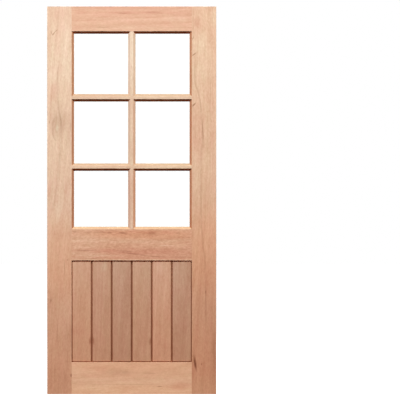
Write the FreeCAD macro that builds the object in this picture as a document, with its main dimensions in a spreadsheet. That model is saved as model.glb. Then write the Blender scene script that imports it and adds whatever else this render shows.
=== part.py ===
import FreeCAD, Part
import os
import re

import Sketcher
from FreeCAD import Vector

# Half glazed door leaf in solid hardwood, millimetres.
# The front faces -Y. X runs from the hinge edge to the lock edge, Z up from the foot of the leaf,
# and the XZ plane is the middle of the leaf's thickness.

# Driving dimensions: name, value, what it measures
SIZES = (
    ("door_width", 864, "hinge edge to lock edge"),
    ("door_height", 1981, "foot to head"),
    ("door_thickness", 44, "front face to back face of the frame"),
    ("stile_width", 125, "flat face of a stile, up to its moulding"),
    ("top_rail_height", 127, "flat face of the top rail, up to its moulding"),
    ("middle_rail_height", 161, "flat face of the middle rail, up to its moulding"),
    ("middle_rail_top", 844, "foot of the leaf to the arris above the middle rail"),
    ("bottom_rail_height", 164, "flat face of the bottom rail"),
    ("bar_face", 15, "flat face of a glazing bar between its two mouldings"),
    ("lower_bar_drop", 20.5, "how far the lower level bar lies below an even spacing of the lights"),
    ("upper_bar_drop", 2.5, "how far the upper level bar lies below an even spacing of the lights"),
    ("moulding_width", 11.5, "arris to sight line, also the rebate behind the moulding"),
    ("moulding_depth", 18, "front face to the glass"),
    ("quirk_depth", 1.5, "step down from the face to the ledge above the splay"),
    ("quirk_width", 1, "ledge between the arris and the splay"),
    ("splay_depth", 9.5, "fall of the splay from its ledge to the lip"),
    ("lip_width", 1, "lip between the splay and the sight line"),
    ("glass_thickness", 6, "one pane"),
    ("glass_clearance", 3, "edge of a pane to the rebate round it"),
    ("tenon_thickness", 14, "all tenons, in the middle of the thickness"),
    ("rail_tenon_length", 80, "how far a rail's tenon enters the stile"),
    ("rail_tenon_shoulder", 16, "rail's edge to the edge of its tenon"),
    ("head_haunch", 32, "outer edge of the top rail to the edge of its tenon"),
    ("foot_haunch", 38, "outer edge of the bottom rail to the edge of its tenon"),
    ("bar_tenon_length", 20, "how far a glazing bar's tenon enters the frame"),
    ("bar_tenon_width", 10, "across a glazing bar's tenon"),
    ("mortise_gap", 2, "end of a tenon to the bottom of its mortise"),
    ("board_thickness", 33, "one board of the lower panel"),
    ("board_chamfer", 4, "each side of a V joint"),
    ("board_gap", 2, "between the shoulders of two boards"),
    ("board_tongue_thickness", 8, "tongues on the boards and their grooves"),
    ("board_tongue_length", 8, "how far a board's tongue enters the next board"),
    ("frame_tongue_length", 10, "how far the panel's edge enters the frame"),
    ("groove_gap", 1, "end of a tongue to the bottom of its groove"),
)

BOARD_COUNT = 6
LIGHT_ROWS = 3

# The two ends of a line in a sketch
START = 1
END = 2

# Places that follow from the driving dimensions
LEFT_ARRIS = "stile_width"
RIGHT_ARRIS = "(door_width - stile_width)"
OPENING_WIDTH = "(door_width - 2 * stile_width)"
HEAD = "door_height"
GLAZED_TOP = "(door_height - top_rail_height)"
GLAZED_BOTTOM = "middle_rail_top"
PANEL_TOP = "(middle_rail_top - middle_rail_height)"
PANEL_BOTTOM = "bottom_rail_height"
BAR_HALF = "bar_face / 2"
BAR_LEFT = f"(door_width / 2 - {BAR_HALF})"
BAR_RIGHT = f"(door_width / 2 + {BAR_HALF})"
ROW_PITCH = f"(({GLAZED_TOP} - {GLAZED_BOTTOM}) / {LIGHT_ROWS})"
LOWER_BAR_HEIGHT = f"({GLAZED_BOTTOM} + {ROW_PITCH} - lower_bar_drop)"
UPPER_BAR_HEIGHT = f"({GLAZED_TOP} - {ROW_PITCH} - upper_bar_drop)"
LOWER_BAR = (f"({LOWER_BAR_HEIGHT} - {BAR_HALF})", f"({LOWER_BAR_HEIGHT} + {BAR_HALF})")
UPPER_BAR = (f"({UPPER_BAR_HEIGHT} - {BAR_HALF})", f"({UPPER_BAR_HEIGHT} + {BAR_HALF})")
UPRIGHT_BAR = (BAR_LEFT, BAR_RIGHT)
FRONT = "-door_thickness / 2"
BACK = "door_thickness / 2"
BEAD_DEPTH = "(door_thickness - moulding_depth - glass_thickness)"

doc = FreeCAD.newDocument("HalfGlazedDoor")


def make_sheet():
    sheet = doc.addObject("Spreadsheet::Sheet", "Sizes")
    for row, (name, value, meaning) in enumerate(SIZES, start=1):
        sheet.set(f"A{row}", name)
        sheet.set(f"B{row}", str(value))
        sheet.setAlias(f"B{row}", name)
        sheet.set(f"C{row}", meaning)
    doc.recompute()


def formula(text):
    """The same formula with each size's name pointing at its cell in the sheet."""
    return re.sub(r"[a-z_]+", lambda name: "Sizes." + name.group(0), text)


def new_body(name):
    body = doc.addObject("PartDesign::Body", name)
    body.Label = name
    return body


def new_sketch(body, name, role, offset="0"):
    """An empty sketch on one of the body's own planes, offset along that plane's normal."""
    sketch = body.newObject("Sketcher::SketchObject", f"{body.Name}_{name}")
    plane = next(item for item in body.Origin.OriginFeatures if item.Role == role)
    sketch.AttachmentSupport = (plane, "")
    sketch.MapMode = "FlatFace"
    sketch.setExpression(".AttachmentOffset.Base.z", formula(offset))
    return sketch


def place(sketch, across, up):
    """Where two formulas lie in a sketch."""
    return Vector(sketch.evalExpression(formula(across)), sketch.evalExpression(formula(up)), 0)


def draw(sketch, corners):
    """A closed outline with straight sides through corners, each an across and an up formula."""
    first = sketch.GeometryCount
    places = [place(sketch, across, up) for across, up in corners]
    sides = [Part.LineSegment(start, end) for start, end in zip(places, places[1:] + places[:1])]
    sketch.addGeometry(sides, False)

    links = []
    for index in range(len(corners)):
        following = first + (index + 1) % len(corners)
        links.append(Sketcher.Constraint("Coincident", first + index, END, following, START))
    sketch.addConstraint(links)

    bound = []
    for index, (across, up) in enumerate(corners):
        corner = (first + index, START)
        bound.append((Sketcher.Constraint("DistanceX", *corner, places[index].x), across))
        bound.append((Sketcher.Constraint("DistanceY", *corner, places[index].y), up))
    numbers = sketch.addConstraint([constraint for constraint, _ in bound])
    for number, (_, text) in zip(numbers, bound):
        sketch.setExpression(f"Constraints[{number}]", formula(text))


def rectangle(left, right, bottom, top):
    return [(left, bottom), (right, bottom), (right, top), (left, top)]


def flat_sketch(body, name, outlines):
    """Outlines in the plane of the leaf."""
    sketch = new_sketch(body, name, "XZ_Plane")
    for corners in outlines:
        draw(sketch, corners)
    return sketch


def add(body, name, outlines, thickness):
    """Outlines in the plane of the leaf, thickened evenly to both sides of it."""
    sketch = flat_sketch(body, name, outlines)
    pad = body.newObject("PartDesign::Pad", f"{body.Name}_{name}_pad")
    pad.Profile = sketch
    pad.Midplane = True
    pad.setExpression("Length", formula(thickness))


def cut(body, name, outlines, thickness):
    """The same outlines taken away, evenly from both sides of the leaf's middle plane."""
    sketch = flat_sketch(body, name, outlines)
    pocket = body.newObject("PartDesign::Pocket", f"{body.Name}_{name}_pocket")
    pocket.Profile = sketch
    pocket.Midplane = True
    pocket.setExpression("Length", formula(thickness))


def halve(body, name, outline, from_front):
    """Takes away one half of the thickness inside an outline, for a halving joint."""
    sketch = flat_sketch(body, name, [outline])
    pocket = body.newObject("PartDesign::Pocket", f"{body.Name}_{name}_pocket")
    pocket.Profile = sketch
    pocket.Reversed = from_front
    pocket.setExpression("Length", formula("door_thickness / 2"))


def moulding_section(arris, out, face, into, depth):
    """Section of a quirked splay. It leaves the arris along out (+ or -) and the face along into (+ or -)."""
    quirk = f"{face} {into} quirk_depth"
    foot = f"{quirk} {into} splay_depth"
    sight = f"{arris} {out} moulding_width"
    inner = f"{face} {into} {depth}"
    return [
        (arris, quirk),
        (f"{arris} {out} quirk_width", quirk),
        (f"{sight} {opposite(out)} lip_width", foot),
        (sight, foot),
        (sight, inner),
        (arris, inner),
    ]


def opposite(sign):
    return "-" if sign == "+" else "+"


def turned(corners):
    """The same outline with across and up exchanged."""
    return [(up, across) for across, up in corners]


def moulding(body, name, upright, arris, out, start, end, crossings=(), bead=False):
    """A moulding along one edge, mitred at both ends and round each crossing bar."""
    if bead:
        face, into, depth = BACK, "-", BEAD_DEPTH
    else:
        face, into, depth = FRONT, "+", "moulding_depth"
    section = moulding_section(arris, out, face, into, depth)
    sketch = new_sketch(body, name, "XY_Plane" if upright else "YZ_Plane", start)
    draw(sketch, section if upright else turned(section))
    pad = body.newObject("PartDesign::Pad", f"{body.Name}_{name}_pad")
    pad.Profile = sketch
    pad.setExpression("Length", formula(f"{end} - {start}"))

    # Along and across the moulding: a triangle at each end, and a splayed notch at each crossing bar
    sight = f"{arris} {out} moulding_width"
    notches = [
        [(start, arris), (start, sight), (f"{start} + moulding_width", sight)],
        [(end, arris), (end, sight), (f"{end} - moulding_width", sight)],
    ]
    for low, high in crossings:
        before = f"{low} - moulding_width"
        after = f"{high} + moulding_width"
        notches.append([(low, arris), (before, sight), (after, sight), (high, arris)])
    if upright:
        notches = [turned(notch) for notch in notches]
    cut(body, f"{name}_mitres", notches, "2 * door_thickness")


def rail_tenons(bottom, top):
    """Tenons at both ends of a rail, between two heights."""
    left = rectangle(f"{LEFT_ARRIS} - rail_tenon_length", LEFT_ARRIS, bottom, top)
    right = rectangle(RIGHT_ARRIS, f"{RIGHT_ARRIS} + rail_tenon_length", bottom, top)
    return [left, right]


TOP_TENON = (f"({GLAZED_TOP} + rail_tenon_shoulder)", f"({HEAD} - head_haunch)")
MIDDLE_TENON = (f"({PANEL_TOP} + rail_tenon_shoulder)", f"({GLAZED_BOTTOM} - rail_tenon_shoulder)")
BOTTOM_TENON = ("foot_haunch", f"({PANEL_BOTTOM} - rail_tenon_shoulder)")


def bar_tenon(centre):
    """The two edges of a glazing bar's tenon."""
    return f"({centre} - bar_tenon_width / 2)", f"({centre} + bar_tenon_width / 2)"


def make_stile(name, outer, arris, out):
    """out points from the stile's arris into the opening, + or -."""
    body = new_body(name)
    add(body, "stock", [rectangle(outer, arris, "0", HEAD)], "door_thickness")
    moulding(body, "moulding", True, arris, out, GLAZED_BOTTOM, GLAZED_TOP, (LOWER_BAR, UPPER_BAR))
    back = opposite(out)
    rail_end = f"{arris} {back} (rail_tenon_length + mortise_gap)"
    bar_end = f"{arris} {back} (bar_tenon_length + mortise_gap)"
    groove_end = f"{arris} {back} (frame_tongue_length + groove_gap)"
    mortises = []
    for bottom, top in (TOP_TENON, MIDDLE_TENON, BOTTOM_TENON):
        mortises.append(rectangle(rail_end, arris, bottom, top))
    for centre in (LOWER_BAR_HEIGHT, UPPER_BAR_HEIGHT):
        mortises.append(rectangle(bar_end, arris, *bar_tenon(centre)))
    cut(body, "mortises", mortises, "tenon_thickness")
    groove = rectangle(
        groove_end,
        arris,
        f"{PANEL_BOTTOM} - frame_tongue_length - groove_gap",
        f"{PANEL_TOP} + frame_tongue_length + groove_gap",
    )
    cut(body, "groove", [groove], "board_tongue_thickness")


def make_top_rail():
    body = new_body("top_rail")
    add(body, "stock", [rectangle(LEFT_ARRIS, RIGHT_ARRIS, GLAZED_TOP, HEAD)], "door_thickness")
    moulding(body, "moulding", False, GLAZED_TOP, "-", LEFT_ARRIS, RIGHT_ARRIS, (UPRIGHT_BAR,))
    add(body, "tenons", rail_tenons(*TOP_TENON), "tenon_thickness")
    left, right = bar_tenon("door_width / 2")
    depth = f"{GLAZED_TOP} + bar_tenon_length + mortise_gap"
    cut(body, "mortise", [rectangle(left, right, GLAZED_TOP, depth)], "tenon_thickness")


def make_middle_rail():
    body = new_body("middle_rail")
    add(body, "stock", [rectangle(LEFT_ARRIS, RIGHT_ARRIS, PANEL_TOP, GLAZED_BOTTOM)], "door_thickness")
    moulding(body, "moulding", False, GLAZED_BOTTOM, "+", LEFT_ARRIS, RIGHT_ARRIS, (UPRIGHT_BAR,))
    add(body, "tenons", rail_tenons(*MIDDLE_TENON), "tenon_thickness")
    left, right = bar_tenon("door_width / 2")
    depth = f"{GLAZED_BOTTOM} - bar_tenon_length - mortise_gap"
    cut(body, "mortise", [rectangle(left, right, depth, GLAZED_BOTTOM)], "tenon_thickness")
    groove = rectangle(LEFT_ARRIS, RIGHT_ARRIS, PANEL_TOP, f"{PANEL_TOP} + frame_tongue_length + groove_gap")
    cut(body, "groove", [groove], "board_tongue_thickness")


def make_bottom_rail():
    body = new_body("bottom_rail")
    add(body, "stock", [rectangle(LEFT_ARRIS, RIGHT_ARRIS, "0", PANEL_BOTTOM)], "door_thickness")
    add(body, "tenons", rail_tenons(*BOTTOM_TENON), "tenon_thickness")
    groove = rectangle(
        LEFT_ARRIS, RIGHT_ARRIS, f"{PANEL_BOTTOM} - frame_tongue_length - groove_gap", PANEL_BOTTOM
    )
    cut(body, "groove", [groove], "board_tongue_thickness")


def make_upright_bar():
    """Runs through from rail to rail behind the level bars, which lap over its front."""
    body = new_body("upright_glazing_bar")
    add(body, "stock", [rectangle(BAR_LEFT, BAR_RIGHT, GLAZED_BOTTOM, GLAZED_TOP)], "door_thickness")
    crossings = (LOWER_BAR, UPPER_BAR)
    moulding(body, "left_moulding", True, BAR_LEFT, "-", GLAZED_BOTTOM, GLAZED_TOP, crossings)
    moulding(body, "right_moulding", True, BAR_RIGHT, "+", GLAZED_BOTTOM, GLAZED_TOP, crossings)
    for name, bar in (("lower_halving", LOWER_BAR), ("upper_halving", UPPER_BAR)):
        halve(body, name, rectangle(BAR_LEFT, BAR_RIGHT, *bar), from_front=True)
    left, right = bar_tenon("door_width / 2")
    tenons = [
        rectangle(left, right, f"{GLAZED_BOTTOM} - bar_tenon_length", GLAZED_BOTTOM),
        rectangle(left, right, GLAZED_TOP, f"{GLAZED_TOP} + bar_tenon_length"),
    ]
    add(body, "tenons", tenons, "tenon_thickness")


def make_level_bar(name, bar, centre):
    """Runs through from stile to stile in front, lapped over the upright bar."""
    body = new_body(name)
    bottom, top = bar
    add(body, "stock", [rectangle(LEFT_ARRIS, RIGHT_ARRIS, bottom, top)], "door_thickness")
    moulding(body, "lower_moulding", False, bottom, "-", LEFT_ARRIS, RIGHT_ARRIS, (UPRIGHT_BAR,))
    moulding(body, "upper_moulding", False, top, "+", LEFT_ARRIS, RIGHT_ARRIS, (UPRIGHT_BAR,))
    halve(body, "halving", rectangle(BAR_LEFT, BAR_RIGHT, bottom, top), from_front=False)
    low, high = bar_tenon(centre)
    tenons = [
        rectangle(f"{LEFT_ARRIS} - bar_tenon_length", LEFT_ARRIS, low, high),
        rectangle(RIGHT_ARRIS, f"{RIGHT_ARRIS} + bar_tenon_length", low, high),
    ]
    add(body, "tenons", tenons, "tenon_thickness")


def make_board(index):
    """Boards are numbered from the left. Each one's tongue enters the next board's groove."""
    body = new_body(f"board_{index + 1}")
    pitch = f"{OPENING_WIDTH} / {BOARD_COUNT}"
    left = f"({LEFT_ARRIS} + {index} * {pitch} + board_gap / 2)"
    right = f"({LEFT_ARRIS} + {index + 1} * {pitch} - board_gap / 2)"
    bottom = f"({PANEL_BOTTOM} + board_gap / 2)"
    top = f"({PANEL_TOP} - board_gap / 2)"
    add(body, "stock", [rectangle(left, right, bottom, top)], "board_thickness")
    doc.recompute()
    stock = body.Tip
    wide_faces = []
    for number, face in enumerate(stock.Shape.Faces, start=1):
        if abs(face.normalAt(0, 0).y) > 0.5:
            wide_faces.append(f"Face{number}")
    chamfer = body.newObject("PartDesign::Chamfer", f"{body.Name}_chamfer")
    chamfer.Base = (stock, wide_faces)
    chamfer.setExpression("Size", formula("board_chamfer"))
    body.Tip = chamfer

    first, last = index == 0, index == BOARD_COUNT - 1
    tongue_left = f"{LEFT_ARRIS} - frame_tongue_length" if first else left
    if last:
        tongue_right = f"{RIGHT_ARRIS} + frame_tongue_length"
    else:
        tongue_right = f"{right} + board_gap + board_tongue_length"
    tongue_bottom = f"{PANEL_BOTTOM} - frame_tongue_length"
    tongue_top = f"{PANEL_TOP} + frame_tongue_length"
    tongue = rectangle(tongue_left, tongue_right, tongue_bottom, tongue_top)
    add(body, "tongue", [tongue], "board_tongue_thickness")
    if not first:
        groove_end = f"{left} + board_tongue_length + groove_gap"
        groove = rectangle(left, groove_end, tongue_bottom, tongue_top)
        cut(body, "groove", [groove], "board_tongue_thickness")


def make_pane(name, columns, rows):
    body = new_body(name)
    (left, right), (bottom, top) = columns, rows
    sketch = new_sketch(body, "outline", "XZ_Plane", f"-({FRONT} + moulding_depth)")
    outline = rectangle(
        f"{left} + glass_clearance",
        f"{right} - glass_clearance",
        f"{bottom} + glass_clearance",
        f"{top} - glass_clearance",
    )
    draw(sketch, outline)
    pad = body.newObject("PartDesign::Pad", f"{name}_pad")
    pad.Profile = sketch
    pad.Reversed = True
    pad.setExpression("Length", formula("glass_thickness"))


def make_beads(light, columns, rows):
    """Four mitred beads that hold one pane in from the back."""
    (left, right), (bottom, top) = columns, rows
    moulding(new_body(f"bead_{light}_left"), "bead", True, left, "+", bottom, top, bead=True)
    moulding(new_body(f"bead_{light}_right"), "bead", True, right, "-", bottom, top, bead=True)
    moulding(new_body(f"bead_{light}_bottom"), "bead", False, bottom, "+", left, right, bead=True)
    moulding(new_body(f"bead_{light}_top"), "bead", False, top, "-", left, right, bead=True)


def make_lights():
    """The arris lines round each light, three rows of two."""
    columns = {"left": (LEFT_ARRIS, BAR_LEFT), "right": (BAR_RIGHT, RIGHT_ARRIS)}
    rows = {
        "lower": (GLAZED_BOTTOM, LOWER_BAR[0]),
        "middle": (LOWER_BAR[1], UPPER_BAR[0]),
        "upper": (UPPER_BAR[1], GLAZED_TOP),
    }
    for row_name, row in rows.items():
        for column_name, column in columns.items():
            light = f"{row_name}_{column_name}"
            make_pane(f"pane_{light}", column, row)
            make_beads(light, column, row)


def check_document():
    doc.recompute()
    for item in doc.Objects:
        if "Invalid" in item.State or "Error" in item.State:
            raise RuntimeError(f"{item.Name} did not compute: {item.State}")
        if item.TypeId == "Sketcher::SketchObject" and not item.FullyConstrained:
            raise RuntimeError(f"{item.Name} is not fully constrained")
        if item.TypeId in ("PartDesign::Pad", "PartDesign::Pocket") and item.BaseFeature:
            grew = item.Shape.Volume - item.BaseFeature.Shape.Volume
            if abs(grew) < 0.1 or (grew > 0) != (item.TypeId == "PartDesign::Pad"):
                raise RuntimeError(f"{item.Name} changed the volume by {grew:.3f}")
    for body in bodies():
        solids = body.Shape.Solids
        if body.Shape.isNull() or not body.Shape.isValid() or len(solids) != 1:
            raise RuntimeError(f"{body.Name} is not one valid solid")


def bodies():
    return [item for item in doc.Objects if item.TypeId == "PartDesign::Body"]


def write_parts():
    os.makedirs("parts", exist_ok=True)
    for body in bodies():
        body.Shape.exportStep(os.path.join("parts", f"{body.Label}.step"))


make_sheet()
make_stile("left_stile", "0", LEFT_ARRIS, "+")
make_stile("right_stile", "door_width", RIGHT_ARRIS, "-")
make_top_rail()
make_middle_rail()
make_bottom_rail()
make_upright_bar()
make_level_bar("lower_glazing_bar", LOWER_BAR, LOWER_BAR_HEIGHT)
make_level_bar("upper_glazing_bar", UPPER_BAR, UPPER_BAR_HEIGHT)
for board_index in range(BOARD_COUNT):
    make_board(board_index)
make_lights()
check_document()
write_parts()
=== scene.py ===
"""Looks of the half glazed door: bare hardwood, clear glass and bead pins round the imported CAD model."""
import math
from collections import namedtuple

import bmesh
import bpy
from mathutils import Matrix, Vector


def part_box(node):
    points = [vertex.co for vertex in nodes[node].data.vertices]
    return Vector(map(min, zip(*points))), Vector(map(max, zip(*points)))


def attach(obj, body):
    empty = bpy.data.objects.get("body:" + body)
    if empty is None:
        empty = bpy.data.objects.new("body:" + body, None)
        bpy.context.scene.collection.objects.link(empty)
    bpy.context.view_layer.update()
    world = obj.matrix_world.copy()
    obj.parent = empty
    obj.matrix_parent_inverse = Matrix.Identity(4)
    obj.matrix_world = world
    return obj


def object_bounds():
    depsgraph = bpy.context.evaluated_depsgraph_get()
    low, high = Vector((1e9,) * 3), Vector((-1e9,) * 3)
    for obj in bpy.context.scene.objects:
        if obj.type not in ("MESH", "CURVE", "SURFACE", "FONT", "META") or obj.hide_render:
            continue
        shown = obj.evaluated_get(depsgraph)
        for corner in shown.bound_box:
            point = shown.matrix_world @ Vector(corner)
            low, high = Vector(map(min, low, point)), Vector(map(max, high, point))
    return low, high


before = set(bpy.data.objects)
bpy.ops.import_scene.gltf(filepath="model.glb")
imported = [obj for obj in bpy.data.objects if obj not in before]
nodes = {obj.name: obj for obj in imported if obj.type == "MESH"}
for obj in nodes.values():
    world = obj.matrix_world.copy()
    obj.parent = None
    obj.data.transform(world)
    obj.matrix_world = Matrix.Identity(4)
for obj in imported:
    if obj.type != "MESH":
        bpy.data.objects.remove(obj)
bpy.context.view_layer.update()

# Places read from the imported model, in metres, with the width of its mouldings and its number of boards. An
# arris is the line between a member's flat and its moulding
MOULDING_WIDTH = 0.0115
BOARD_COUNT = 6
LEAF_LOW, LEAF_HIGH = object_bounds()
LEAF_HEIGHT = LEAF_HIGH.z
FRONT = LEAF_LOW.y
BACK = LEAF_HIGH.y
LEFT_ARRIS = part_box("left_stile")[1].x - MOULDING_WIDTH
RIGHT_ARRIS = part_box("right_stile")[0].x + MOULDING_WIDTH
HEAD_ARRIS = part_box("top_rail")[0].z + MOULDING_WIDTH
SILL_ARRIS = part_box("middle_rail")[1].z - MOULDING_WIDTH
PANEL_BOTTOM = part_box("bottom_rail")[1].z
PANEL_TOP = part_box("middle_rail")[0].z
BOARD_PITCH = (RIGHT_ARRIS - LEFT_ARRIS) / BOARD_COUNT

# Tones of the bare wood at the foot and the head, linear light; the change between them is partly painted
# light
HEAD_TONE = (0.672, 0.478, 0.350)
FOOT_TONE = (0.521, 0.260, 0.157)
PORE_TONE = (0.160, 0.062, 0.034)

# Tints that a tone is multiplied by: the ends of the figure's light and of its hue, then single marks
SHADE = (0.84, 0.74, 0.69)
SHINE = (1.15, 1.25, 1.30)
OLIVE = (0.97, 1.03, 0.985)
ROSY = (1.03, 0.97, 1.015)
BROWN = (0.50, 0.36, 0.28)
KNOT = (0.58, 0.38, 0.28)
ROSE = (0.91, 0.78, 0.78)
CREAM = (1.08, 1.22, 1.26)
WARM = (1.03, 0.92, 0.85)

# Painted light and shade multiplied into the wood: shade under the mouldings, on their sides and on the bars'
# upper splays, light on the sill and on the upright bar's left splay, shade on its right splay and in the
# boards' joints, warm bounce light in the shadow line over the boards, and shade on the leaf's top face
PAINTED_UNDER_SHADE = (1.06, 0.50, 0.28)
LEFT_SIDE_PAINTED_SHADE = (0.82, 0.54, 0.40)
RIGHT_SIDE_PAINTED_SHADE = (0.79, 0.546, 0.44)
UPPER_PAINTED_SHADE = (0.66, 0.62, 0.555)
SILL_PAINTED_LIGHT = (0.875, 1.00, 0.90)
BAR_LEFT_PAINTED_LIGHT = (1.05, 1.03, 1.08)
BAR_RIGHT_PAINTED_SHADE = (1.10, 0.94, 0.85)
JOINT_PAINTED_SHADE = (0.66, 0.49, 0.41)
SHADOW_LINE_PAINTED_BOUNCE = (1.98, 1.02, 0.60)
TOP_PAINTED_SHADE = (0.72, 0.63, 0.55)

# Where those tints set in and where they are full, in metres from the edge that each belongs to, and how much
# narrower the shadow line at the panel's foot is than a joint
MOULDING_EDGE = (0.0, 0.0008)
JOINT_EDGE = (0.0062, 0.0050)
JOINT_HEAD = (0.0054, 0.0090)
DEEP_HEAD = (0.0068, 0.0054)
TOP_SHADE_BELOW_TOP = (0.0005, 0.0002)
TOP_SHADE_BEHIND_FRONT = (0.0002, 0.0008)
FOOT_NARROWING = 0.0012

# Layers of figure: blobs to the metre across the grain and along it, then the noise's detail and roughness
BROAD = (9.0, 1.3, 1.0, 0.55)
CLOUD = (34.0, 11.0, 2.0, 0.55)
WARMTH = (40.0, 14.0, 2.0, 0.55)
RIBBON = (70.0, 3.0, 2.0, 0.55)
MOTTLE = (150.0, 70.0, 2.0, 0.62)
FIBRE = (520.0, 26.0, 2.0, 0.60)
PORE = (1500.0, 70.0, 1.0, 0.55)

# How strong the layers show, and how much of mottle and fibre a moulding loses
CLOUD_CONTRAST = 0.50
FIBRE_CONTRAST = 0.60
HUE_BY_BROAD = 0.80
MOULDED_CALM = 0.70

# How the grain wanders: blobs to the metre across it and along it, and metres of sway
SLOW_SWAY = (5.0, 1.1, 0.050)
QUICK_SWAY = (22.0, 4.5, 0.010)
SEED_SHIFT = 7.31

# Growth rings: blobs to the metre of radius, their drift along the stem, and the noise's useful range
RING_DENSITY = 150.0
RING_DRIFT = 0.25
RING_SEED = 3.7
RING_RANGE = (0.30, 0.72)

# The tone by height: the share of the leaf's height where it is palest, and how much the figure shifts it
PALE_HEIGHT = 0.69
PALE_BY_BROAD = 0.16

# Pores: where the noise counts as one, and how much a pore darkens the wood and roughens it
PORE_RANGE = (0.16, 0.26)
PORE_SHARE = 0.40
PORE_ROUGHNESS = 0.10

# Marks and veins: the share of a mark that is at full strength, the end of a vein that fades, and how the
# clouds break a vein up
MARK_CORE = 0.25
VEIN_END = 0.08
VEIN_BREAKS = (-0.24, 0.14, 0.25, 1.0)

# Surface of the sanded wood: gloss, and the relief of fibres and pores with its depth in metres
WOOD_ROUGHNESS = 0.67
WOOD_SPECULAR = 0.32
FIBRE_ROUGHNESS = 0.14
FIBRE_RELIEF = 0.35
RELIEF_DEPTH = 0.0002
RELIEF_STRENGTH = 0.45

# Softened arrises: their width in metres, the angle in degrees below which faces are one, the angle above
# which they meet in an arris, and the distance in metres below which corners are one
WOOD_ARRIS = 0.0005
BEAD_ARRIS = 0.0003
ONE_FACE = 0.5
SHARP = 35
ONE_CORNER = 1e-6

# Surface of the panes: blobs of dust to the metre across and up, the noise's range, and the roughest dust
DUST_ACROSS = 34.0
DUST_UP = 21.0
DUST_RANGE = (0.45, 0.80)
DUST_ROUGHNESS = 0.045
GLASS_TONE = (0.975, 0.992, 0.984)
GLASS_IOR = 1.52

# Steel of the pins: blobs of stain to the metre, the noise's range, and its tones and roughness
STAIN_DENSITY = 900.0
STAIN_RANGE = (0.2, 0.8)
STEEL_TONES = ((0.30, 0.28, 0.26), (0.56, 0.55, 0.53))
STEEL_ROUGHNESS = (0.30, 0.55)

# Pins, in metres: the head, where it sits on the splay of its bead, and its places as shares of the bead
PIN_RADIUS = 0.0009
PIN_TOP_SHARE = 0.75
PIN_DEPTH = 0.0006
PIN_PROUD = 0.0001
PIN_SIDES = 16
PIN_ACROSS = MOULDING_WIDTH / 2
PIN_DEEP = 0.00625
PIN_PLACES = (0.14, 0.5, 0.86)

# Floor: its reach and its drop below the leaf in metres, blobs of grit to the metre, tones and surface
FLOOR_REACH = 40.0
FLOOR_DROP = 0.0004
FLOOR_GRIT = 40.0
FLOOR_TONES = ((0.20, 0.20, 0.20), (0.24, 0.24, 0.24))
FLOOR_GLOW = 0.96
FLOOR_SPECULAR = 0.1
FLOOR_ROUGHNESS = 0.9

# Surrounding light from below and above, the rise where the upper one is full, and how much brighter the
# white is behind a pane, to make up for what the pane takes
WHITE = (1.0, 1.0, 1.0)
LIGHT_BELOW = (0.060, 0.024, 0.010)
LIGHT_ABOVE = (0.50, 0.50, 0.50)
FULL_RISE = 0.9
PANE_GAIN = 0.16

# Lamps, all turned to the middle of the leaf
LIGHT_AIM = (0.432, 0.0, 1.0)
KEY_LIGHT = dict(place=(-0.4, -8.6, 11.6), size=(4.4, 3.4), watts=2800.0, colour=(1.0, 0.985, 0.965))
BACK_LIGHT = dict(place=(2.4, 5.6, 6.0), size=(3.2, 2.6), watts=900.0, colour=(1.0, 0.99, 0.98))

# Camera: x and z in the middle of the picture, the picture's width at the leaf, the distance to the leaf and
# the farthest distance shown, in metres, then the sensor's width in millimetres
PICTURE_MIDDLE = (0.7808, 0.9922)
PICTURE_WIDTH = 2.0436
CAMERA_DISTANCE = 20.0
FAR_CLIP = 120.0
SENSOR_WIDTH = 36.0

# A place in the grain, in metres: across wanders as a grown stem does, straight is the same without the
# wandering, and shifted is along, moved by the seed
Grain = namedtuple("Grain", "across deep shifted along straight")


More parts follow.
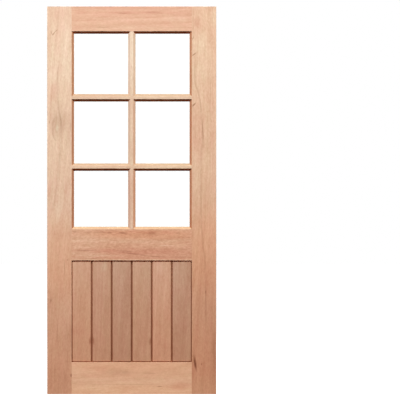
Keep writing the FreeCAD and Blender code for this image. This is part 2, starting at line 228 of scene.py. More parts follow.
class Tree:
    """Short names for the nodes of one node tree."""

    def __init__(self, tree):
        self.tree = tree

    def put(self, value, socket):
        """Links an output to the socket, or sets the socket to a number or a colour."""
        if isinstance(value, bpy.types.NodeSocket):
            self.tree.links.new(value, socket)
        elif isinstance(value, tuple) and len(value) == 3:
            socket.default_value = (*value, 1.0)
        else:
            socket.default_value = value

    def math(self, operation, *values, clamp=False):
        node = self.tree.nodes.new("ShaderNodeMath")
        node.operation = operation
        node.use_clamp = clamp
        for value, socket in zip(values, node.inputs):
            self.put(value, socket)
        return node.outputs[0]

    def add(self, *values):
        total = values[0]
        for value in values[1:]:
            total = self.math("ADD", total, value)
        return total

    def minus(self, first, second):
        return self.math("SUBTRACT", first, second)

    def times(self, first, second):
        return self.math("MULTIPLY", first, second)

    def vector(self, x, y, z):
        node = self.tree.nodes.new("ShaderNodeCombineXYZ")
        for value, socket in zip((x, y, z), node.inputs):
            self.put(value, socket)
        return node.outputs[0]

    def place(self, space="Object"):
        """The x, y and z of a point on an object, in metres, or of a direction when space is Generated."""
        coordinates = self.tree.nodes.new("ShaderNodeTexCoord")
        split = self.tree.nodes.new("ShaderNodeSeparateXYZ")
        self.put(coordinates.outputs[space], split.inputs[0])
        return split.outputs

    def noise(self, vector, detail=2.0, roughness=0.5):
        """Soft noise from 0 to 1 with about one blob to each unit of the vector."""
        node = self.tree.nodes.new("ShaderNodeTexNoise")
        self.put(vector, node.inputs["Vector"])
        node.inputs["Scale"].default_value = 1.0
        node.inputs["Detail"].default_value = detail
        node.inputs["Roughness"].default_value = roughness
        return node.outputs["Fac"]

    def fade(self, value, low, high, start=0.0, end=1.0):
        """Eases from start to end as value goes from low to high."""
        node = self.tree.nodes.new("ShaderNodeMapRange")
        node.interpolation_type = "SMOOTHSTEP"
        for entry, socket in zip((value, low, high, start, end), node.inputs):
            self.put(entry, socket)
        return node.outputs[0]

    def mix(self, share, first, second, blend="MIX"):
        """A colour between the first and the second, or the first blended with the second."""
        node = self.tree.nodes.new("ShaderNodeMix")
        node.data_type = "RGBA"
        node.blend_type = blend
        share_socket, first_socket, second_socket = node.inputs[0], node.inputs[6], node.inputs[7]
        self.put(share, share_socket)
        self.put(first, first_socket)
        self.put(second, second_socket)
        return node.outputs[2]

    def background(self, colour, strength=1.0):
        """Light of one colour from all round."""
        node = self.tree.nodes.new("ShaderNodeBackground")
        self.put(colour, node.inputs["Color"])
        self.put(strength, node.inputs["Strength"])
        return node.outputs[0]


class Shader(Tree):
    """The node tree of one new material, round its Principled shader."""

    def __init__(self, name):
        self.material = bpy.data.materials.new(name)
        self.material.use_nodes = True
        super().__init__(self.material.node_tree)
        self.surface = self.tree.nodes["Principled BSDF"]

    def paint(self, values):
        """Sets the named inputs of the surface."""
        for name, value in values.items():
            self.put(value, self.surface.inputs[name])

    def bump(self, height, depth, strength):
        node = self.tree.nodes.new("ShaderNodeBump")
        node.inputs["Strength"].default_value = strength
        node.inputs["Distance"].default_value = depth
        self.put(height, node.inputs["Height"])
        self.paint({"Normal": node.outputs[0]})


def grain_space(wood, level, middle, seed):
    """The place in the grain of a piece."""
    x, y, z = wood.place()
    along, side = (x, z) if level else (z, x)
    across = wood.minus(side, middle)
    shifted = wood.add(along, seed * SEED_SHIFT)
    sways = []
    for size, length, reach in (SLOW_SWAY, QUICK_SWAY):
        spread = wood.vector(wood.times(across, size), wood.times(y, size), wood.times(shifted, length))
        sways.append(wood.times(wood.minus(wood.noise(spread, detail=1.0), 0.5), reach))
    return Grain(wood.add(across, *sways), y, shifted, along, across)


def figure(wood, grain, size, length, detail, roughness):
    """Noise drawn out along the grain, from -0.5 to 0.5."""
    spread = wood.vector(
        wood.times(grain.across, size), wood.times(grain.deep, size), wood.times(grain.shifted, length)
    )
    return wood.minus(wood.noise(spread, detail=detail, roughness=roughness), 0.5)


def growth_rings(wood, grain, seed, pith, tilt):
    """Rings round a pith outside the piece, from -0.5 to 0.5."""
    ring_across = wood.minus(grain.across, wood.add(wood.times(grain.along, tilt[0]), pith[0]))
    ring_deep = wood.minus(grain.deep, wood.add(wood.times(grain.along, tilt[1]), pith[1]))
    squares = wood.add(wood.times(ring_across, ring_across), wood.times(ring_deep, ring_deep))
    radius = wood.math("SQRT", squares)
    drift = wood.times(grain.shifted, RING_DRIFT)
    spread = wood.vector(wood.times(radius, RING_DENSITY), seed * RING_SEED, drift)
    rings = wood.noise(spread, detail=3.0, roughness=0.6)
    return wood.minus(0.5, wood.fade(rings, *RING_RANGE))


def mark_mask(wood, grain, spot, level, middle):
    """1 in the middle of a mark, 0 outside it. spot is its x, z, half width, half height and lean."""
    x, z, wide, high, lean = spot
    centre_across, centre_along = (z - middle, x) if level else (x - middle, z)
    if level:
        wide, high = high, wide
    off_along = wood.minus(grain.along, centre_along)
    off_across = wood.minus(grain.straight, centre_across)
    off_across = wood.minus(off_across, wood.times(off_along, lean))
    off_across = wood.math("DIVIDE", off_across, wide)
    off_along = wood.math("DIVIDE", off_along, high)
    squares = wood.add(wood.times(off_across, off_across), wood.times(off_along, off_along))
    return wood.fade(wood.math("SQRT", squares), 1.0, MARK_CORE)


def vein_mask(wood, x, z, half_width, points):
    """1 along a smooth line drawn up an upright piece through points of z and x, fading out at its ends."""
    heights = [point[0] for point in points]
    places = [point[1] for point in points]
    low, left = min(heights), min(places)
    rise, width = max(heights) - low, max(places) - left
    share = wood.math("DIVIDE", wood.minus(z, low), rise, clamp=True)
    node = wood.tree.nodes.new("ShaderNodeFloatCurve")
    curve = node.mapping.curves[0]
    shape = sorted(((height - low) / rise, (place - left) / width) for height, place in points)
    curve.points[0].location = shape[0]
    curve.points[1].location = shape[-1]
    for point in shape[1:-1]:
        curve.points.new(*point)
    node.mapping.update()
    wood.put(share, node.inputs["Value"])
    line = wood.add(wood.times(node.outputs[0], width), left)
    distance = wood.math("ABSOLUTE", wood.minus(x, line))
    ends = wood.times(wood.fade(share, 0.0, VEIN_END), wood.fade(share, 1.0, 1.0 - VEIN_END))
    return wood.times(wood.fade(distance, half_width, 0.0), ends)


def board_shade(wood, colour, x, z, board):
    """Paints shade into the joints beside a board and at its foot, and warm bounce light into the shadow over
    its head.
    """
    low, high = board
    edge = wood.math("MINIMUM", wood.minus(x, low), wood.minus(high, x))
    edge = wood.math("MINIMUM", edge, wood.minus(z, PANEL_BOTTOM - FOOT_NARROWING))
    depth = wood.minus(PANEL_TOP, z)
    joint = wood.times(wood.fade(edge, *JOINT_EDGE), wood.fade(depth, *JOINT_HEAD))
    # Painted shade in the V joints and in the shadow line at the panel's foot
    colour = wood.mix(joint, colour, JOINT_PAINTED_SHADE, "MULTIPLY")
    # Painted warm bounce light in the shadow that the middle rail casts on the boards' heads
    return wood.mix(wood.fade(depth, *DEEP_HEAD), colour, SHADOW_LINE_PAINTED_BOUNCE, "MULTIPLY")


def hardwood(name, level=False, middle=0.0, pale=0.0, tint=WHITE, seed=1.0, pith=(0.09, 0.16),
             tilt=(0.0, 0.03), rings=0.30, streaks=0.24, mottled=0.95, marks=(), veins=(), mouldings=(),
             board=None):
    """Bare sanded hardwood cut from one stem, so the figure runs through the piece and round its edges.

    middle is the x of the piece's middle line, or the z on a level piece.
    pale takes the piece's tone from higher up the leaf, and seed picks another length of the stem.
    pith is how far the stem's middle lies to the side and behind, and tilt how that changes with each metre.
    rings, streaks and mottled are how strong the growth rings, the long ribbons and the fine mottle show.
    Each mark is x, z, half width, half height, lean, strength and tint.
    Each vein is a strength, a half width and points of z and x.
    Each moulding is its arris (an x, or a z on a level piece), the side where it lies, and its painted light
    and shade.
    board is the x of both edges of a board.
    """
    wood = Shader(name)
    grain = grain_space(wood, level, middle, seed)
    x, y, z = wood.place()
    ring = growth_rings(wood, grain, seed, pith, tilt)
    layers = (BROAD, CLOUD, RIBBON, MOTTLE, FIBRE, WARMTH)
    broad, cloud, ribbon, mottle, fibre, warmth = (figure(wood, grain, *layer) for layer in layers)
    pore = wood.fade(figure(wood, grain, *PORE), *PORE_RANGE)

    # Paler towards the head of the leaf: partly the wood's own tone, partly painted light, the head lit more
    # than the foot
    height = wood.math("DIVIDE", z, LEAF_HEIGHT)
    paleness = wood.fade(wood.add(height, pale, wood.times(broad, PALE_BY_BROAD)), 0.0, PALE_HEIGHT)
    colour = wood.mix(paleness, FOOT_TONE, HEAD_TONE)
    colour = wood.mix(1.0, colour, tint, "MULTIPLY")

    # A cutter burnishes a moulding, so its fine figure shows less there
    moulded = []
    for line, side, shade in mouldings:
        past = wood.minus(z if level else x, line)
        moulded.append((wood.fade(wood.times(past, side), *MOULDING_EDGE), shade))
    calm = wood.add(1.0, *(wood.times(mask, -MOULDED_CALM) for mask, shade in moulded))
    fine = wood.add(wood.times(mottle, mottled), wood.times(fibre, FIBRE_CONTRAST))
    light = wood.add(
        0.5,
        wood.times(ring, rings),
        wood.times(ribbon, -streaks),
        wood.times(cloud, CLOUD_CONTRAST),
        wood.times(fine, calm),
    )
    colour = wood.mix(1.0, colour, wood.mix(light, SHADE, SHINE), "MULTIPLY")
    hue = wood.mix(wood.add(0.5, warmth, wood.times(broad, HUE_BY_BROAD)), OLIVE, ROSY)
    colour = wood.mix(1.0, colour, hue, "MULTIPLY")

    for *spot, strength, shade in marks:
        mask = mark_mask(wood, grain, spot, level, middle)
        colour = wood.mix(wood.times(mask, strength), colour, wood.mix(1.0, colour, shade, "MULTIPLY"))
    for strength, half_width, points in veins:
        mask = wood.times(vein_mask(wood, x, z, half_width, points), wood.fade(cloud, *VEIN_BREAKS))
        colour = wood.mix(wood.times(mask, strength), colour, wood.mix(1.0, colour, BROWN, "MULTIPLY"))
    # Painted light and shade on the mouldings, one tint for each side as the lamps light it
    for mask, shade in moulded:
        colour = wood.mix(mask, colour, shade, "MULTIPLY")
    if board:
        colour = board_shade(wood, colour, x, z, board)
    # Painted shade on the leaf's top face, which the steep key lamp lights too brightly
    below_top = wood.fade(z, *(LEAF_HEIGHT - reach for reach in TOP_SHADE_BELOW_TOP))
    behind_front = wood.fade(y, *(FRONT + reach for reach in TOP_SHADE_BEHIND_FRONT))
    colour = wood.mix(wood.times(below_top, behind_front), colour, TOP_PAINTED_SHADE, "MULTIPLY")
    colour = wood.mix(wood.times(pore, PORE_SHARE), colour, PORE_TONE)

    fibre_roughness = wood.times(fibre, FIBRE_ROUGHNESS)
    roughness = wood.add(WOOD_ROUGHNESS, fibre_roughness, wood.times(pore, PORE_ROUGHNESS))
    wood.paint({"Base Color": colour, "Roughness": roughness, "Specular IOR Level": WOOD_SPECULAR})
    wood.bump(wood.minus(wood.times(fibre, FIBRE_RELIEF), pore), RELIEF_DEPTH, RELIEF_STRENGTH)
    return wood.material


def clear_glass():
    """Clear float glass, faintly green in its thickness, with a little dust on it."""
    glass = Shader("clear_glass")
    x, y, z = glass.place()
    spread = glass.vector(glass.times(x, DUST_ACROSS), glass.times(y, DUST_ACROSS), glass.times(z, DUST_UP))
    dust = glass.noise(spread, detail=4.0, roughness=0.65)
    glass.paint({
        "Roughness": glass.fade(dust, *DUST_RANGE, 0.0, DUST_ROUGHNESS),
        "Base Color": GLASS_TONE,
        "Transmission Weight": 1.0,
        "IOR": GLASS_IOR,
    })
    return glass.material


def pin_steel():
    """Bright steel of the bead pins, dulled by handling."""
    steel = Shader("pin_steel")
    spread = steel.vector(*(steel.times(part, STAIN_DENSITY) for part in steel.place()))
    stain = steel.noise(spread)
    steel.paint({
        "Base Color": steel.mix(stain, *STEEL_TONES),
        "Roughness": steel.fade(stain, *STAIN_RANGE, *STEEL_ROUGHNESS),
        "Metallic": 1.0,
    })
    return steel.material


def bar_mouldings(name, axis, low_painted_shading, high_painted_shading):
    """The mouldings on both edges of a glazing bar, whose width runs along axis 0 or 2, with the light and
    shade painted on each.
    """
    low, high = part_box(name)
    return [(low[axis] + MOULDING_WIDTH, -1, low_painted_shading), (high[axis] - MOULDING_WIDTH, 1, high_painted_shading)]


def board_wood(number, middle, tint, marks=()):
    """What the numbered board is cut from: one more length of the stem, a little browner than the frame."""
    left = LEFT_ARRIS + BOARD_PITCH * (number - 1)
    return dict(
        middle=middle, pale=-0.08, tint=tint, seed=8.0 + number, mottled=0.75, marks=marks,
        board=(left, left + BOARD_PITCH),
    )


# Long lines in the figure of the stiles, as z and x
LEFT_VEIN = (
    (1.712, 0.0697), (1.5845, 0.0523), (1.4619, 0.0584), (1.3598, 0.0722), (1.2475, 0.0666), (1.1045, 0.0549),
    (0.9922, 0.0385), (0.9207, 0.0191),
)
RIGHT_VEIN = (
    (1.794, 0.7705), (1.7172, 0.7603), (1.6202, 0.7547), (1.5538, 0.7690), (1.4568, 0.7859), (1.3138, 0.7930),
    (1.2219, 0.7874), (0.9922, 0.7859), (0.8798, 0.7884), (0.7624, 0.7961), (0.6756, 0.8063),
    (0.4816, 0.8104), (0.3300, 0.8104),
)

# What each member is cut from. Marks: x, z, half width, half height, lean, strength, tint
WOOD = {
    "left_stile": dict(
        middle=0.0625, tint=(1.05, 1.055, 1.045), seed=1.0, pith=(0.10, 0.12), tilt=(0.0, 0.045),
        marks=[
            (0.0625, 0.690, 0.250, 0.300, 0.0, 0.76, WARM),
            (0.0625, 1.425, 0.110, 0.105, 0.0, 0.13, BROWN),
            (0.1080, 1.330, 0.030, 0.130, 0.0, 0.12, BROWN),
            (0.1050, 0.275, 0.040, 0.150, 0.0, 0.14, BROWN),
            (0.0550, 1.670, 0.120, 0.170, 0.0, 0.24, CREAM),
            (0.0625, 1.942, 0.080, 0.060, 0.0, 0.23, ROSE),
            (0.0960, 1.758, 0.035, 0.190, 0.0, 0.31, CREAM),
            (0.0455, 1.856, 0.0034, 0.0110, 1.27, 0.85, BROWN),
            (0.0335, 1.842, 0.0034, 0.0120, 0.73, 0.90, BROWN),
            (0.0230, 1.845, 0.0030, 0.0150, -0.41, 0.70, BROWN),
            (0.0290, 1.539, 0.0220, 0.075, 0.1, 0.62, ROSE),
            (0.0550, 1.375, 0.0550, 0.090, 0.05, 0.26, BROWN),
            (0.0508, 1.361, 0.0100, 0.024, 0.0, 0.92, CREAM),
            (0.0109, 1.390, 0.0040, 0.010, 0.0, 0.54, BROWN),
            (0.1187, 1.370, 0.0070, 0.038, 0.0, 0.25, BROWN),
            (0.1060, 1.059, 0.0220, 0.080, 0.0, 0.31, ROSE),
            (0.0114, 1.043, 0.0140, 0.060, 0.0, 0.54, ROSE),
            (0.0574, 0.936, 0.0240, 0.080, 0.1, 0.46, CREAM),
            (0.0881, 0.647, 0.0028, 0.058, 0.0, 0.43, BROWN),
            (0.1034, 0.686, 0.0045, 0.008, 0.0, 0.43, BROWN),
            (0.0191, 0.479, 0.0140, 0.026, 0.0, 0.19, BROWN),
            (0.0191, 0.479, 0.0060, 0.010, 0.0, 0.46, BROWN),
            (0.0523, 0.318, 0.0028, 0.080, 0.0, 0.28, BROWN),
            (0.0855, 0.073, 0.0450, 0.085, 0.0, 0.11, BROWN),
            (0.1235, 0.096, 0.0075, 0.013, 0.0, 0.92, BROWN),
        ],
        veins=[
            (0.34, 0.0080, LEFT_VEIN),
            (0.30, 0.0075, ((1.4159, 0.0411), (1.3598, 0.0272), (1.2904, 0.0523))),
        ],
        mouldings=[(LEFT_ARRIS, 1, LEFT_SIDE_PAINTED_SHADE)],
    ),
    "right_stile": dict(
        middle=0.8015, tint=(0.99, 0.91, 0.845), seed=2.0, pith=(-0.10, 0.11), tilt=(0.0, -0.05),
        marks=[
            (0.8300, 0.720, 0.200, 0.330, 0.0, 0.85, WARM),
            (0.7750, 1.690, 0.120, 0.190, 0.0, 0.48, CREAM),
            (0.8498, 1.927, 0.0220, 0.070, 0.0, 0.54, CREAM),
            (0.7654, 1.904, 0.0280, 0.045, 0.0, 0.54, ROSE),
            (0.7449, 1.819, 0.0040, 0.014, 0.5, 0.60, BROWN),
            (0.7500, 1.736, 0.0060, 0.012, 1.1, 0.90, BROWN),
            (0.7500, 1.479, 0.0070, 0.014, 0.8, 0.90, BROWN),
            (0.7750, 1.805, 0.060, 0.080, 0.0, 0.38, CREAM),
            (0.7720, 1.335, 0.0500, 0.190, 0.0, 0.52, ROSE),
            (0.8339, 1.549, 0.0025, 0.100, 0.0, 0.25, BROWN),
            (0.8421, 1.314, 0.0200, 0.055, 0.0, 0.50, ROSE),
            (0.7654, 1.120, 0.0300, 0.150, 0.0, 0.23, CREAM),
            (0.8180, 0.480, 0.1000, 0.330, 0.0, 0.13, BROWN),
            (0.8540, 0.160, 0.035, 0.200, 0.0, 0.20, BROWN),
            (0.8099, 0.5225, 0.0040, 0.014, 0.0, 0.54, BROWN),
            (0.8549, 0.252, 0.0140, 0.160, 0.0, 0.22, BROWN),
            (0.7560, 0.160, 0.0100, 0.060, -0.14, 0.75, BROWN),
            (0.7560, 0.156, 0.0062, 0.034, -0.14, 0.85, BROWN),
            (0.7884, 0.153, 0.0045, 0.008, 0.0, 0.48, BROWN),
            (0.7960, 0.030, 0.1000, 0.085, 0.0, 0.45, CREAM),
        ],
        veins=[
            (0.32, 0.0080, RIGHT_VEIN),
            (0.52, 0.0045, ((1.4300, 0.7850), (1.3450, 0.7955), (1.2550, 0.7990))),
        ],
        mouldings=[(RIGHT_ARRIS, -1, RIGHT_SIDE_PAINTED_SHADE)],
    ),
    "top_rail": dict(
        level=True, middle=1.9175, tint=(0.98, 0.835, 0.78), seed=3.0, streaks=0.28, mottled=0.75,
        marks=[
            (0.4280, 1.973, 0.420, 0.016, 0.0, 0.42, ROSE),
            (0.4280, 1.950, 0.330, 0.011, 0.0, 0.59, ROSE),
            (0.3871, 1.947, 0.038, 0.007, 0.0, 0.20, BROWN),
            (0.5405, 1.951, 0.055, 0.007, 0.0, 0.19, BROWN),
            (0.1724, 1.957, 0.055, 0.020, 0.0, 0.46, ROSE),
            (0.3462, 1.919, 0.220, 0.013, 0.0, 0.34, CREAM),
            (0.6580, 1.916, 0.090, 0.028, 0.0, 0.34, CREAM),
            (0.4280, 1.872, 0.380, 0.020, 0.0, 0.22, CREAM),
            (0.2798, 1.8745, 0.045, 0.005, 0.0, 0.26, BROWN),
        ],
        mouldings=[(HEAD_ARRIS, -1, PAINTED_UNDER_SHADE)],
    ),
    "middle_rail": dict(
        level=True, middle=0.765, tint=(0.99, 0.845, 0.765), seed=4.0, rings=0.15, streaks=0.75, mottled=1.8,
        tilt=(0.02, 0.05),
        marks=[
            (0.1700, 0.770, 0.150, 0.070, 0.0, 0.48, CREAM),
            (0.1900, 0.712, 0.150, 0.042, 0.0, 0.74, CREAM),
            (0.5000, 0.811, 0.400, 0.015, 0.0, 0.11, BROWN),
            (0.5900, 0.712, 0.300, 0.036, 0.0, 0.30, ROSE),
            (0.5000, 0.815, 0.400, 0.036, 0.0, 0.80, WARM),
            (0.4280, 0.831, 0.340, 0.009, 0.0, 0.39, ROSE),
            (0.5916, 0.824, 0.160, 0.016, 0.0, 0.27, ROSE),
            (0.5350, 0.822, 0.030, 0.013, 0.0, 0.32, BROWN),
            (0.6680, 0.8225, 0.022, 0.006, 0.0, 0.34, BROWN),
            (0.3871, 0.8237, 0.030, 0.007, 0.0, 0.62, BROWN),
            (0.3190, 0.8240, 0.018, 0.005, 0.0, 0.42, BROWN),
            (0.2700, 0.8275, 0.045, 0.006, 0.0, 0.34, BROWN),
            (0.2100, 0.8280, 0.030, 0.006, 0.0, 0.24, BROWN),
            (0.1410, 0.8300, 0.014, 0.008, 0.0, 0.36, BROWN),
            (0.4280, 0.785, 0.360, 0.022, 0.0, 0.53, CREAM),
            (0.6020, 0.7594, 0.060, 0.0048, 0.0, 0.85, CREAM),
            (0.4280, 0.729, 0.370, 0.028, 0.0, 0.59, ROSE),
            (0.2300, 0.7340, 0.190, 0.015, 0.0, 0.52, ROSE),
            (0.2031, 0.7338, 0.085, 0.0036, 0.0, 0.46, BROWN),
            (0.4000, 0.7310, 0.060, 0.0045, -0.06, 0.38, BROWN),
            (0.4510, 0.7155, 0.115, 0.0045, -0.146, 0.43, BROWN),
            (0.5700, 0.7025, 0.070, 0.0045, -0.04, 0.44, BROWN),
            (0.6785, 0.7012, 0.070, 0.0040, 0.0, 0.37, BROWN),
            (0.6938, 0.742, 0.055, 0.0050, 0.0, 0.26, BROWN),
            (0.2747, 0.7073, 0.160, 0.0035, 0.0, 0.62, CREAM),
            (0.2184, 0.694, 0.100, 0.0020, 0.0, 0.46, BROWN),
            (0.5750, 0.815, 0.070, 0.022, 0.0, 0.34, CREAM),
            # Painted highlight along the middle rail's upper arris
            (0.4280, 0.8430, 0.900, 0.0032, 0.0, 0.85, CREAM),
            (0.4280, 0.6955, 0.600, 0.0070, 0.0, 0.26, ROSE),
            # Painted highlight along the middle rail's lower arris
            (0.4280, 0.6878, 0.700, 0.0050, 0.0, 0.85, CREAM),
        ],
        mouldings=[(SILL_ARRIS, 1, SILL_PAINTED_LIGHT)],
    ),
    "bottom_rail": dict(
        level=True, middle=0.082, pale=0.30, tint=(1.16, 1.11, 1.03), seed=5.0, rings=0.15, streaks=0.25,
        mottled=0.75,
        marks=[
            (0.4320, 0.150, 0.700, 0.040, 0.0, 0.60, WARM),
            (0.4320, 0.152, 0.700, 0.040, 0.0, 0.12, BROWN),
            (0.4320, 0.105, 0.700, 0.034, 0.0, 0.30, WARM),
            (0.4320, 0.103, 0.700, 0.022, 0.0, 0.09, BROWN),
            (0.4320, 0.014, 0.600, 0.048, 0.0, 0.65, CREAM),
            (0.4320, 0.014, 0.700, 0.052, 0.0, 0.60, WARM),
            (0.3641, 0.114, 0.100, 0.026, 0.0, 0.22, BROWN),
            (0.2747, 0.124, 0.055, 0.032, 0.0, 0.46, ROSE),
            (0.5252, 0.106, 0.040, 0.0060, 0.0, 0.18, BROWN),
            (0.3974, 0.112, 0.026, 0.0090, 0.0, 0.13, BROWN),
            (0.2542, 0.032, 0.140, 0.032, 0.0, 0.34, CREAM),
            (0.6785, 0.040, 0.065, 0.032, 0.0, 0.78, ROSE),
            (0.4229, 0.0496, 0.310, 0.0024, 0.0, 0.25, BROWN),
            (0.5737, 0.0394, 0.020, 0.0026, 0.0, 0.78, BROWN),
        ],
    ),
    "upright_glazing_bar": dict(
        middle=0.432, tint=(1.05, 1.08, 1.08), seed=6.0, streaks=0.4,
        marks=[
            (0.4452, 1.740, 0.0125, 0.400, 0.0, 0.85, CREAM),
            (0.4460, 0.960, 0.0125, 0.330, 0.0, 0.90, WARM),
            (0.4185, 0.950, 0.0125, 0.300, 0.0, 0.25, ROSE),
            (0.4320, 1.720, 0.060, 0.220, 0.0, 0.90, CREAM),
            (0.4300, 1.675, 0.0022, 0.010, 0.0, 0.46, BROWN),
            (0.4380, 1.615, 0.0022, 0.012, 0.0, 0.46, BROWN),
            (0.4270, 1.565, 0.0025, 0.009, 0.0, 0.46, BROWN),
            (0.4320, 1.040, 0.050, 0.150, 0.0, 0.46, ROSE),
        ],
        mouldings=bar_mouldings("upright_glazing_bar", 0, BAR_LEFT_PAINTED_LIGHT, BAR_RIGHT_PAINTED_SHADE),
    ),
    "lower_glazing_bar": dict(
        level=True, middle=1.160, pale=0.25, tint=(1.05, 1.07, 1.03), seed=7.0,
        mouldings=bar_mouldings("lower_glazing_bar", 2, PAINTED_UNDER_SHADE, UPPER_PAINTED_SHADE),
    ),
    "upper_glazing_bar": dict(
        level=True, middle=1.515, pale=0.22, tint=(1.00, 1.02, 0.99), seed=8.0,
        mouldings=bar_mouldings("upper_glazing_bar", 2, PAINTED_UNDER_SHADE, UPPER_PAINTED_SHADE),
    ),
    "board_1": board_wood(
        1, 0.176, (1.038, 1.052, 1.052),
        [(0.2290, 0.274, 0.020, 0.034, 0.0, 0.14, KNOT), (0.2188, 0.273, 0.0080, 0.027, 0.1, 0.55, KNOT)],
    ),
    "board_2": board_wood(
        2, 0.278, (0.936, 0.949, 0.948),
        [
            (0.2290, 0.274, 0.020, 0.034, 0.0, 0.14, KNOT),
            (0.2362, 0.273, 0.0080, 0.027, -0.1, 0.50, KNOT),
            (0.2900, 0.650, 0.025, 0.035, 0.0, 0.70, CREAM),
        ],
    ),
    "board_3": board_wood(3, 0.381, (0.872, 0.884, 0.894)),
    "board_4": board_wood(
        4, 0.483, (0.944, 0.969, 0.968),
        [(0.5290, 0.272, 0.020, 0.034, 0.0, 0.14, KNOT), (0.5262, 0.270, 0.0090, 0.026, 0.1, 0.50, KNOT)],
    ),
    "board_5": board_wood(
        5, 0.585, (1.038, 1.04, 1.038), [(0.5865, 0.645, 0.040, 0.050, 0.0, 0.39, CREAM)],
    ),
    "board_6": board_wood(6, 0.688, (0.872, 0.884, 0.882)),
}

# The beads at the back are cut from two more lengths, one for the uprights and one for the level ones
BEAD_WOOD = {
    "upright": dict(middle=0.432, tint=(0.92, 0.88, 0.84), seed=15.0),
    "level": dict(level=True, middle=1.35, tint=(0.92, 0.88, 0.84), seed=16.0),
}


def soften(node, width):
    """Takes the sawn sharpness off the arrises of a CAD node, with shading that follows its faces."""
    node.data.shade_smooth()
    merge = node.modifiers.new("merge", "WELD")
    merge.merge_threshold = ONE_CORNER
    flat = node.modifiers.new("flat", "DECIMATE")
    flat.decimate_type = "DISSOLVE"
    flat.angle_limit = math.radians(ONE_FACE)
    bevel = node.modifiers.new("arris", "BEVEL")
    bevel.width = width
    bevel.segments = 2
    bevel.limit_method = "ANGLE"
    bevel.angle_limit = math.radians(SHARP)
    bevel.use_clamp_overlap = True
    shading = node.modifiers.new("shading", "WEIGHTED_NORMAL")
    shading.mode = "FACE_AREA"
    shading.weight = 100
    shading.keep_sharp = False


def dress(node, material):
    """Gives a CAD node its one material."""
    node.data.materials.clear()
    node.data.materials.append(material)


def dress_leaf():
    """Dresses the frame, the bars, the boards, the beads and the panes."""
    for name, choices in WOOD.items():
        dress(nodes[name], hardwood(name + "_wood", **choices))
        soften(nodes[name], WOOD_ARRIS)
    bead_wood = {name: hardwood(name + "_bead_wood", **choices) for name, choices in BEAD_WOOD.items()}
    glass = clear_glass()
    for name, node in nodes.items():
        if name.startswith("bead_"):
            dress(node, bead_wood["upright" if name.endswith(("left", "right")) else "level"])
            soften(node, BEAD_ARRIS)
        elif name.startswith("pane_"):
            dress(node, glass)
            # Bounced light passes the panes by, because what comes by way of them specks the wood
            node.visible_diffuse = False


def bead_pins():
    """Round heads of the pins that hold the beads, on the splay of each bead at the back."""
    mesh = bmesh.new()
    for name in sorted(node for node in nodes if node.startswith("bead_")):
        low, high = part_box(name)
        side = name.rsplit("_", 1)[1]
        upright = side in ("left", "right")
        inward = 1 if side in ("left", "bottom") else -1
        if upright:
            arris = low.x if inward > 0 else high.x
            start, end = low.z, high.z
        else:
            arris = low.z if inward > 0 else high.z
            start, end = low.x, high.x
        centre_across = arris + inward * PIN_ACROSS
        centre_deep = BACK - PIN_DEEP
        for share in PIN_PLACES:
            along = start + (end - start) * share
            if upright:
                centre = Vector((centre_across, centre_deep, along))
                normal = Vector((inward, 1, 0)).normalized()
            else:
                centre = Vector((along, centre_deep, centre_across))
                normal = Vector((0, 1, inward)).normalized()
            turn = normal.to_track_quat("Z", "Y").to_matrix().to_4x4()
            sunk = centre + normal * (PIN_PROUD - PIN_DEPTH / 2)
            bmesh.ops.create_cone(
                mesh, cap_ends=True, segments=PIN_SIDES, radius1=PIN_RADIUS,
                radius2=PIN_RADIUS * PIN_TOP_SHARE, depth=PIN_DEPTH, matrix=Matrix.Translation(sunk) @ turn,
            )
    data = bpy.data.meshes.new("bead_pins")
    mesh.to_mesh(data)
    mesh.free()
    pins = bpy.data.objects.new("bead_pins", data)
    bpy.context.scene.collection.objects.link(pins)
    data.materials.append(pin_steel())
    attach(pins, "root")


def pale_floor():
    """Pale and even, with a glow of its own so that it stays near white."""
    floor = Shader("pale_floor")
    x, y, z = floor.place()
    grit = floor.noise(floor.vector(floor.times(x, FLOOR_GRIT), floor.times(y, FLOOR_GRIT), 0.0), detail=3.0)
    floor.paint({
        "Base Color": floor.mix(grit, *FLOOR_TONES),
        "Roughness": FLOOR_ROUGHNESS,
        "Specular IOR Level": FLOOR_SPECULAR,
        "Emission Color": WHITE,
        "Emission Strength": FLOOR_GLOW,
    })
    return floor.material


def make_stage():
    """A plain pale floor, which keeps a soft shadow under the leaf."""
    data = bpy.data.meshes.new("floor")
    sides = ((-1, -1), (1, -1), (1, 1), (-1, 1))
    corners = [(x * FLOOR_REACH, y * FLOOR_REACH, -FLOOR_DROP) for x, y in sides]
    data.from_pydata(corners, [], [(0, 1, 2, 3)])
    floor = bpy.data.objects.new("floor", data)
    bpy.context.scene.collection.objects.link(floor)
    data.materials.append(pale_floor())
    floor.visible_diffuse = False
    floor.visible_glossy = False


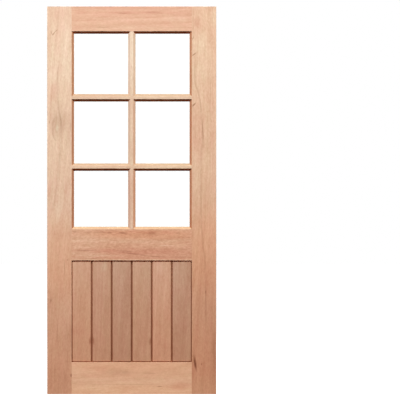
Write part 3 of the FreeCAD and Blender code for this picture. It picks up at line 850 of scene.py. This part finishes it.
def make_world():
    """Soft light from above, little from below, and white behind the leaf for what is seen directly."""
    world = bpy.data.worlds.new("studio")
    bpy.context.scene.world = world
    world.use_nodes = True
    sky = Tree(world.node_tree)
    sky.tree.nodes.clear()
    rise = sky.fade(sky.place("Generated")["Z"], 0.0, FULL_RISE)
    soft = sky.background(sky.mix(rise, LIGHT_BELOW, LIGHT_ABOVE))
    path = sky.tree.nodes.new("ShaderNodeLightPath").outputs
    through_pane = path["Is Transmission Ray"]
    white = sky.background(WHITE, sky.math("MULTIPLY_ADD", through_pane, PANE_GAIN, 1.0))
    straight = sky.math("MAXIMUM", path["Is Camera Ray"], through_pane)
    bounces = sky.add(path["Diffuse Depth"], path["Glossy Depth"])
    choose = sky.tree.nodes.new("ShaderNodeMixShader")
    output = sky.tree.nodes.new("ShaderNodeOutputWorld")
    sky.put(sky.math("SUBTRACT", straight, bounces, clamp=True), choose.inputs[0])
    sky.put(soft, choose.inputs[1])
    sky.put(white, choose.inputs[2])
    sky.put(choose.outputs[0], output.inputs["Surface"])


def area_light(name, place, size, watts, colour):
    """A lamp turned to the middle of the leaf, and not seen itself."""
    data = bpy.data.lights.new(name, "AREA")
    data.shape = "RECTANGLE"
    data.size, data.size_y = size
    data.energy = watts
    data.color = colour
    light = bpy.data.objects.new(name, data)
    light.location = place
    light.rotation_euler = (Vector(LIGHT_AIM) - Vector(place)).to_track_quat("-Z", "Y").to_euler()
    light.visible_camera = False
    bpy.context.scene.collection.objects.link(light)


def make_camera():
    """Square on and far away, because the photo shows next to no perspective."""
    data = bpy.data.cameras.new("camera")
    data.sensor_width = SENSOR_WIDTH
    data.lens = SENSOR_WIDTH * CAMERA_DISTANCE / PICTURE_WIDTH
    data.clip_end = FAR_CLIP
    camera = bpy.data.objects.new("camera", data)
    middle_x, middle_z = PICTURE_MIDDLE
    camera.location = (middle_x, FRONT - CAMERA_DISTANCE, middle_z)
    camera.rotation_euler = (math.radians(90), 0.0, 0.0)
    bpy.context.scene.collection.objects.link(camera)
    bpy.context.scene.camera = camera


dress_leaf()
bead_pins()
make_stage()
make_world()
make_camera()
area_light("key", **KEY_LIGHT)
area_light("back", **BACK_LIGHT)
bpy.context.scene.view_settings.view_transform = "Standard"

bpy.context.view_layer.update()
